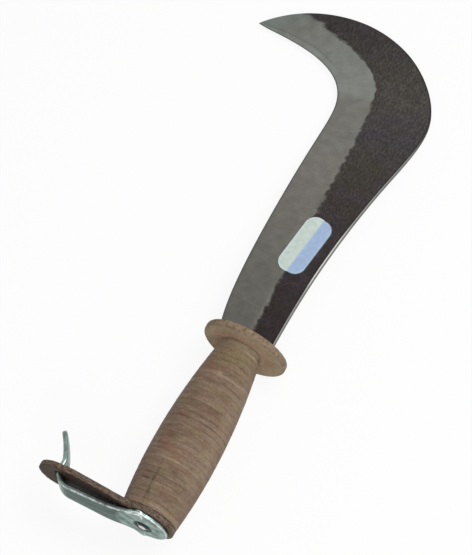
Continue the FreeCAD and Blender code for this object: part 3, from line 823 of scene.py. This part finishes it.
# %% Wear of the guard
# The rim is cut through the layers of the hide, so it is darker, with short dirty nicks.
on_rim = np.clip((reach - GUARD_RADIUS + 1.6 * MM) / (0.8 * MM), 0, 1)
nicks = np.clip(bumps(guard_loops * (0.35, 1, 1), 1.1, 23) * 1.6, 0, 1)
worn = np.exp(-((reach - GUARD_RADIUS + 1.4 * MM) / (0.5 * MM)) ** 2)
uneven = 0.55 + bumps(guard_loops, 6, 25)
outer_ring = np.clip((reach - 0.72 * GUARD_RADIUS) / (0.15 * GUARD_RADIUS), 0, 1) * (1 - on_rim)
inner_ring = np.exp(-((reach - 0.66 * GUARD_RADIUS) / (0.12 * GUARD_RADIUS)) ** 2)
guard = skin("leather_guard_disc", guard_loops, [guard_finish], ring=True,
             marks={"tone": -0.4 * on_rim, "dirt_and_dark_ring": on_rim * (0.42 + 0.35 * nicks),
                    "rub_and_painted_light": worn * np.clip(0.3 + bumps(guard_loops, 2, 24), 0, 0.6),
                    "stain": np.clip(0.85 * inner_ring * uneven, 0, 1),
                    "yellowed": np.clip(0.7 * outer_ring * uneven, 0, 1)})
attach(guard, "root")
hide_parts("leather_guard")
print("guard points:", len(guard.data.vertices))

# %% [markdown]
# ## The tongue
# The last washer has a long tongue that the prong pokes through, so that the belt can't slip off.
# It is dark, greased leather, painted darker on its faces as shade, with browner cut edges.
# Its outline with the slot is already in the frame, so we take that solid, remesh it evenly,
# soften it as leather softens and press shallow dents into it.

# %% Remeshing and marking


def softened(name, node, voxel, rounds):
    """Evenly remeshed and smoothed copy of a solid of the frame."""
    piece = bpy.data.objects.new(name, frame["nodes"][node].data.copy())
    put_in_scene(piece)
    remesh = piece.modifiers.new("even", "REMESH")
    remesh.mode = "VOXEL"
    remesh.voxel_size = voxel
    smooth = piece.modifiers.new("soft", "SMOOTH")
    smooth.factor = 0.5
    smooth.iterations = rounds
    ready = piece.evaluated_get(bpy.context.evaluated_depsgraph_get())
    mesh = bpy.data.meshes.new_from_object(ready)
    piece.modifiers.clear()
    piece.data = mesh
    mesh.shade_smooth()
    return piece


def read_surface(piece):
    """Points and normals of a mesh, in the room and on the tool's axes."""
    mesh = piece.data
    rows = []
    for source, field in ((mesh.vertices, "co"), (mesh.vertex_normals, "vector")):
        values = np.zeros(len(mesh.vertices) * 3)
        source.foreach_get(field, values)
        rows.append(values.reshape(-1, 3))
    to_tool = np.array(bench.inverted())
    return (*rows, rows[0] @ to_tool[:3, :3].T + to_tool[:3, 3], rows[1] @ to_tool[:3, :3].T)


def finish_surface(piece, marks, moved, finish):
    """Writes marks, moved points and a finish to a remeshed piece."""
    for mark, values in marks.items():
        piece.data.attributes.new(mark, "FLOAT", "POINT").data.foreach_set("value", values)
    piece.data.vertices.foreach_set("co", moved.ravel())
    piece.data.materials.clear()
    piece.data.materials.append(finish)


print("remeshing ready")

# %% Finish of the tongue


def tongue_leather():
    """Dark greased hide on the faces, painted darker as shade, and browner, mottled fibres on the
    cut edges.
    """
    finish, tree = new_finish("greased_tongue_leather")
    cut = add(tree, "Attribute", attribute_name="cut").outputs["Fac"]
    grain = add(tree, "TexNoise", {"Vector": on_tool(tree), "Scale": per_metre(1.6), "Detail": 5.0,
                                   "Roughness": 0.65})
    clouds = add(tree, "TexNoise", {"Vector": on_tool(tree), "Scale": per_metre(12), "Detail": 2.0})
    fibres = add(tree, "TexNoise", {"Vector": on_tool(tree, (5.0, 1.0, 1.0)), "Detail": 4.0,
                                    "Scale": per_metre(3)})
    # The faces are dark leather painted darker still as shade.
    face = add(tree, "Mix", (clouds, "#2a2019", "#4b3c31"))
    fibre_share = add(tree, "MapRange", (fibres, 0.35, 0.65))
    edge = add(tree, "Mix", (fibre_share, "#3d3129", "#78675a"))
    colour = add(tree, "Mix", (cut, face, edge))
    mottle = add(tree, "MapRange", (grain, 0.3, 0.7, 0.6, 1.4))
    colour = add(tree, "VectorMath", (colour, mottle), operation="SCALE")
    rough = add(tree, "MapRange", (grain, 0.0, 1.0, 0.7, 0.5))
    bump = add(tree, "Bump", {"Strength": 0.4, "Distance": 0.15 * MM, "Height": grain})
    shader = add(tree, "BsdfPrincipled", {"Base Color": colour, "Roughness": rough,
                                          "IOR": 1.45, "Normal": bump,
                                          "Specular IOR Level": 0.18})
    add(tree, "OutputMaterial", {"Surface": shader})
    return finish


print("tongue finish ready")

# %% Tongue
VOXEL = 0.5 * MM
WORN_RIM_REACH = 16.5 * MM
TONGUE_DENT = 0.1 * MM

tongue = softened("tongue_strap", "tongue_washer", VOXEL, 4)
points, normals, places, facings = read_surface(tongue)
cut = np.clip((0.8 - np.abs(facings[:, 0])) / 0.3, 0, 1)
reach = np.hypot(places[:, 1], places[:, 2])
worn_rim = np.clip((reach - WORN_RIM_REACH) / MM, 0, 1) * (places[:, 1] > -WORN_RIM_REACH)
cut = np.maximum(cut, 0.85 * worn_rim)
dents = TONGUE_DENT * (bumps(points, 9, 31) + 0.5 * bumps(points, 2.5, 32) - 1)
finish_surface(tongue, {"cut": cut}, points + normals * dents[:, None], tongue_leather())
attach(tongue, "root")
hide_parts("tongue_washer")
print("tongue points:", len(points))

# %% [markdown]
# ## The belt hook
# Plate, arm and prong are one steel blank, bent and zinc plated. Plating is a bright, slightly
# blue-green grey and cloudy. The arm carries a painted dark reflection of the shaded bench under
# it, the rounded edges carry painted highlights, and the plate is darker in a ring round the
# peened end. As with the tongue, we take the solid of the frame and remesh it, this time
# finely, so that its edges stay crisp and the painted highlights can follow them.

# %% Finish of the belt hook
FINE_VOXEL = 0.4 * MM
PLATE_REACH = 16.0 * MM
DARK_RING = (4.4 * MM, 7.2 * MM)
PRONG_REACH = 57.0 * MM
ARM_HALF_WIDTHS = (13.6 * MM, 9.4 * MM)
ARM_LENGTH = 54.0 * MM
ARM_FLARE = 2.7 * MM
FLARE_LENGTH = 5.9 * MM
HIGHLIGHT_BAND = 1.7 * MM
EAR_TURN = 98.0
EAR_HALF_WIDTH = 12.0
EAR_RISE = 2.2 * MM


def zinc_plate():
    """Bright zinc plate, cloudy, with a painted dark reflection on the arm, painted highlights on
    its edges and a dark ring round the peened end.
    """
    finish, tree = new_finish("zinc_plated_steel")
    mark = {kind: add(tree, "Attribute", attribute_name=kind).outputs["Fac"]
            for kind in ("painted_dark_reflection", "painted_highlight", "dirt_and_dark_ring")}
    clouds = add(tree, "TexNoise", {"Vector": on_tool(tree), "Scale": per_metre(6), "Detail": 4.0})
    scratches = add(tree, "TexNoise", {"Vector": on_tool(tree, (1.0, 0.12, 1.0)), "Detail": 3.0,
                                       "Scale": per_metre(2.6)})
    cloud_share = add(tree, "MapRange", (clouds, 0.35, 0.65))
    streak_share = add(tree, "MapRange", (scratches, 0.35, 0.65))
    bright = add(tree, "Mix", (cloud_share, "#64746f", "#a0b3ae"))
    # The dark tones are a painted reflection of the shaded bench under the arm.
    dark_reflection_tone = add(tree, "Mix", (streak_share, "#232a28", "#5c6b66"))
    colour = add(tree, "Mix", (mark["painted_dark_reflection"], bright, dark_reflection_tone))
    # Painted highlights on the rounded edges, broken up by noise.
    sparkle = add(tree, "TexNoise", {"Vector": on_tool(tree), "Scale": per_metre(2.2)})
    painted_highlight = add(tree, "MapRange", (sparkle, 0.35, 0.6, 0.35, 1.3))
    painted_highlight = add(tree, "Math", (painted_highlight, mark["painted_highlight"]), operation="MULTIPLY", use_clamp=True)
    colour = add(tree, "Mix", (painted_highlight, colour, "#dfe7e4"))
    # The plate is darker in a ring round the peened end.
    colour = add(tree, "Mix", (mark["dirt_and_dark_ring"], colour, "#2f3533"))
    rough = add(tree, "MapRange", (scratches, 0.0, 1.0, 0.16, 0.4))
    bump = add(tree, "Bump", {"Strength": 0.12, "Distance": 0.05 * MM, "Height": scratches})
    shader = add(tree, "BsdfPrincipled", {"Base Color": colour, "Metallic": 1.0,
                                          "Roughness": rough, "Normal": bump,
                                          "Specular Tint": "#dce3e0"})
    add(tree, "OutputMaterial", {"Surface": shader})
    return finish


# %% Belt hook
hook = softened("plated_belt_hook", "belt_hook", FINE_VOXEL, 2)
points, normals, places, facings = read_surface(hook)
facing = np.abs(facings[:, 0])
rounded = 2 * facing * np.sqrt(np.clip(1 - facing ** 2, 0, 1))
reach = np.hypot(places[:, 1], places[:, 2])
on_arm = np.clip((reach - PLATE_REACH) / (4 * MM), 0, 1)
ring = np.clip((reach - DARK_RING[0]) / (0.5 * MM), 0, 1)
ring = np.where(reach > DARK_RING[0], np.clip((DARK_RING[1] - reach) / (0.8 * MM), 0, 1), ring)
on_prong = np.clip((reach - PRONG_REACH) / (5 * MM), 0, 1)
run = -places[:, 1] / ARM_LENGTH
half_width = ARM_HALF_WIDTHS[0] + (ARM_HALF_WIDTHS[1] - ARM_HALF_WIDTHS[0]) * run
half_width = half_width + ARM_FLARE * np.exp(-run * ARM_LENGTH / FLARE_LENGTH)
side = places[:, 2] / half_width
# A painted highlight runs along both edges of the arm's face, stronger on the edge away from the
# bench.
band = np.clip((np.abs(places[:, 2]) - half_width + HIGHLIGHT_BAND) / (0.7 * MM), 0, 1)
band = band * on_arm * (1 - on_prong) * (facing > 0.5) * np.where(side < 0, 0.55, 0.3)
# Rounded edges take a painted highlight, weaker on arm and prong.
edge_highlight = rounded ** 3 * (1 - 0.4 * on_arm - 0.3 * on_prong)
# The arm is painted dark as a reflection, less towards the bench-side edge and on its sides.
painted_dark_reflection = on_arm * (1 - 0.75 * on_prong) * (1 - 0.25 * np.clip(side + 0.2, 0, 1))
painted_dark_reflection = painted_dark_reflection * np.where(facing < 0.5, 0.85, 1.0)
marks = {"painted_dark_reflection": painted_dark_reflection, "painted_highlight": np.maximum(edge_highlight, band), "dirt_and_dark_ring": 0.9 * ring}
# The plate keeps two blunt corners of the blank where the arm leaves it.
turn = np.degrees(np.arctan2(np.abs(places[:, 2]), places[:, 1]))
ear = EAR_RISE * np.exp(-((turn - EAR_TURN) / EAR_HALF_WIDTH) ** 2)
ear = ear * np.clip(reach / PLATE_REACH - 0.5, 0, 0.5) * 2 / np.maximum(reach, MM)
outward = places * (0, 1, 1) * ear[:, None]
finish_surface(hook, marks, points + outward @ np.array(axes)[:3, :3].T, zinc_plate())
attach(hook, "root")
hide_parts("belt_hook")
print("hook points:", len(points))

# %% [markdown]
# ## The label
# A plain paper sticker on the blade, in pale mint and pale blue halves inside a pale rim.
# Coated paper is a little glossy and lies flat on the steel, and the edge of its blue half is
# dark. The rim follows the sticker's outline, which is a rectangle grown by its corner
# radius, so a distance to that gives the rim.

# %% Finish of the label
LABEL_MIDDLE = (86.0 * MM, 1.0 * MM, 0.0)
LABEL_TURN = math.radians(7)
LABEL_HALVES = (22.75 * MM, 10.0 * MM, 0.0)
LABEL_CORNER = 8.0 * MM
PRINTED_RIM = 1.6 * MM
DARK_EDGE_WIDTH = 1.0 * MM


def label_paper():
    """Coated paper in two plain halves with a pale rim."""
    finish, tree = new_finish("coated_label_paper")
    place = add(tree, "Mapping", {"Vector": on_tool(tree), "Location": LABEL_MIDDLE,
                                  "Rotation": (0, 0, LABEL_TURN)}, vector_type="TEXTURE")
    flat = add(tree, "VectorMath", (place, (1.0, 1.0, 0.0)), operation="MULTIPLY")
    flat = add(tree, "VectorMath", (flat,), operation="ABSOLUTE")
    core = [max(half - LABEL_CORNER, 0.0) for half in LABEL_HALVES]
    beyond = add(tree, "VectorMath", (flat, core), operation="SUBTRACT")
    beyond = add(tree, "VectorMath", (beyond, (0.0, 0.0, 0.0)), operation="MAXIMUM")
    outward = add(tree, "VectorMath", (beyond,), operation="LENGTH").outputs["Value"]
    across = add(tree, "SeparateXYZ", {"Vector": place}).outputs["Y"]
    half = add(tree, "MapRange", (across, -0.6 * MM, 0.6 * MM))
    wear = add(tree, "TexNoise", {"Vector": place, "Scale": per_metre(3), "Detail": 4.0})
    colour = add(tree, "Mix", (half, "#c0cec6", "#9bb1d0"))
    rim = add(tree, "MapRange", (outward, LABEL_CORNER - PRINTED_RIM,
                                 LABEL_CORNER - PRINTED_RIM + 0.3 * MM))
    mint_side = add(tree, "MapRange", (half, 0.0, 1.0, 1.0, 0.4))
    rim = add(tree, "Math", (rim, mint_side), operation="MULTIPLY")
    colour = add(tree, "Mix", (rim, colour, "#c3d3d3"))
    fade = add(tree, "MapRange", (wear, 0.3, 0.7, 0.92, 1.06))
    colour = add(tree, "VectorMath", (colour, fade), operation="SCALE")
    # The edge of the blue half is darker.
    dark_edge = add(tree, "MapRange", (outward, LABEL_CORNER - DARK_EDGE_WIDTH, LABEL_CORNER - 0.1 * MM, 0.0,
                                   0.95))
    dark_edge = add(tree, "Math", (dark_edge, half), operation="MULTIPLY")
    colour = add(tree, "Mix", (dark_edge, colour, "#1c2a34"))
    shader = add(tree, "BsdfPrincipled", {"Base Color": colour, "Roughness": 0.4,
                                          "Specular IOR Level": 0.3})
    add(tree, "OutputMaterial", {"Surface": shader})
    return finish


label = frame["nodes"]["blade_label"]
label.data.materials.clear()
label.data.materials.append(label_paper())
print("label finish set")

# %% [markdown]
# ## Bench, light and background
# The picture has a plain white ground. The floor is a pale board that is mostly self-lit to the
# camera and to reflections, so that it reads as white while a faint shadow stays. The world
# gives soft light from all round, and two large lamps give leather and steel their form.

# %% Floor
FLOOR_HALF = 3.0
GLOW_SHARE = 0.9


def seen_directly(tree):
    """1 for rays from the camera and for mirrored and refracted ones, else 0."""
    path = add(tree, "LightPath")
    shown = add(tree, "Math", (path.outputs["Is Camera Ray"], path.outputs["Is Glossy Ray"]),
                operation="MAXIMUM")
    return add(tree, "Math", (shown, path.outputs["Is Transmission Ray"]), operation="MAXIMUM")


def pale_board():
    """Matt white board, partly self-lit where it is seen."""
    finish, tree = new_finish("pale_board")
    matt = add(tree, "BsdfDiffuse", {"Color": "#ededeb"})
    glow = add(tree, "Emission", {"Color": (1, 1, 1, 1), "Strength": 1.0})
    share = add(tree, "Math", (seen_directly(tree), GLOW_SHARE), operation="MULTIPLY")
    mixed = add(tree, "MixShader", (share, matt, glow))
    add(tree, "OutputMaterial", {"Surface": mixed})
    return finish


corner_points = [(x * FLOOR_HALF, y * FLOOR_HALF, -0.0002)
                 for x, y in ((-1, -1), (1, -1), (1, 1), (-1, 1))]
floor_mesh = bpy.data.meshes.new("bench_board")
floor_mesh.from_pydata(corner_points, [], [(0, 1, 2, 3)])
floor_mesh.materials.append(pale_board())
floor = bpy.data.objects.new("bench_board", floor_mesh)
put_in_scene(floor)
print("floor", 2 * FLOOR_HALF, "m wide")

# %% World and lamps
WORLD_LIGHT = 0.4

world = bpy.data.worlds.new("white_room")
bpy.context.scene.world = world
world.use_nodes = True
world.node_tree.nodes.clear()
tree = world.node_tree
strength = add(tree, "MapRange", (seen_directly(tree), 0.0, 1.0, WORLD_LIGHT))
sky = add(tree, "Background", {"Color": (1, 1, 1, 1), "Strength": strength})
add(tree, "OutputWorld", {"Surface": sky})

LAMPS = {"overhead_softbox": ((0.25, -0.45, 1.2), 0.6, 9.5),
         "side_softbox": ((-0.9, -0.5, 0.9), 0.5, 3.4)}
for name, (place, width, power) in LAMPS.items():
    lamp = bpy.data.lights.new(name, "AREA")
    lamp.shape = "SQUARE"
    lamp.size = width
    lamp.energy = power
    stand = bpy.data.objects.new(name, lamp)
    stand.location = place
    stand.rotation_euler = (-Vector(place)).to_track_quat("-Z", "Y").to_euler()
    put_in_scene(stand)
print("lamps:", ", ".join(LAMPS))

# %% [markdown]
# ## Camera
# The picture was taken from high above the pommel's side with a long lens. The place, the point
# on the bench it looks at and the way the top of the picture points were found by laying the
# guard's circle and the grip's sides over it.

# %% Camera
CAMERA_PLACE = Vector((-0.54208, -0.48577, 1.88519))
CAMERA_AIM = Vector((-0.01397, -0.00772, 0.03))
PICTURE_TOP_HEADING = math.radians(27.585)
LENS_MM = 194.6
SENSOR_MM = 36.0

toward = (CAMERA_PLACE - CAMERA_AIM).normalized()
top = Vector((math.cos(PICTURE_TOP_HEADING), math.sin(PICTURE_TOP_HEADING), 0))
right = top.cross(toward).normalized()
camera_turn = Matrix((right, toward.cross(right), toward)).transposed().to_4x4()
camera = bpy.data.objects.new("camera", bpy.data.cameras.new("camera"))
camera.data.lens = LENS_MM
camera.data.sensor_width = SENSOR_MM
camera.data.clip_end = 20.0
camera.matrix_world = Matrix.Translation(CAMERA_PLACE) @ camera_turn
put_in_scene(camera)
bpy.context.scene.camera = camera
bpy.context.scene.view_settings.view_transform = "Standard"
print("camera", round((CAMERA_PLACE - CAMERA_AIM).length, 3), "m from the tool")

# %% [markdown]
# Last, the scene is brought up to date.

# %% Bring the scene up to date
bpy.context.view_layer.update()
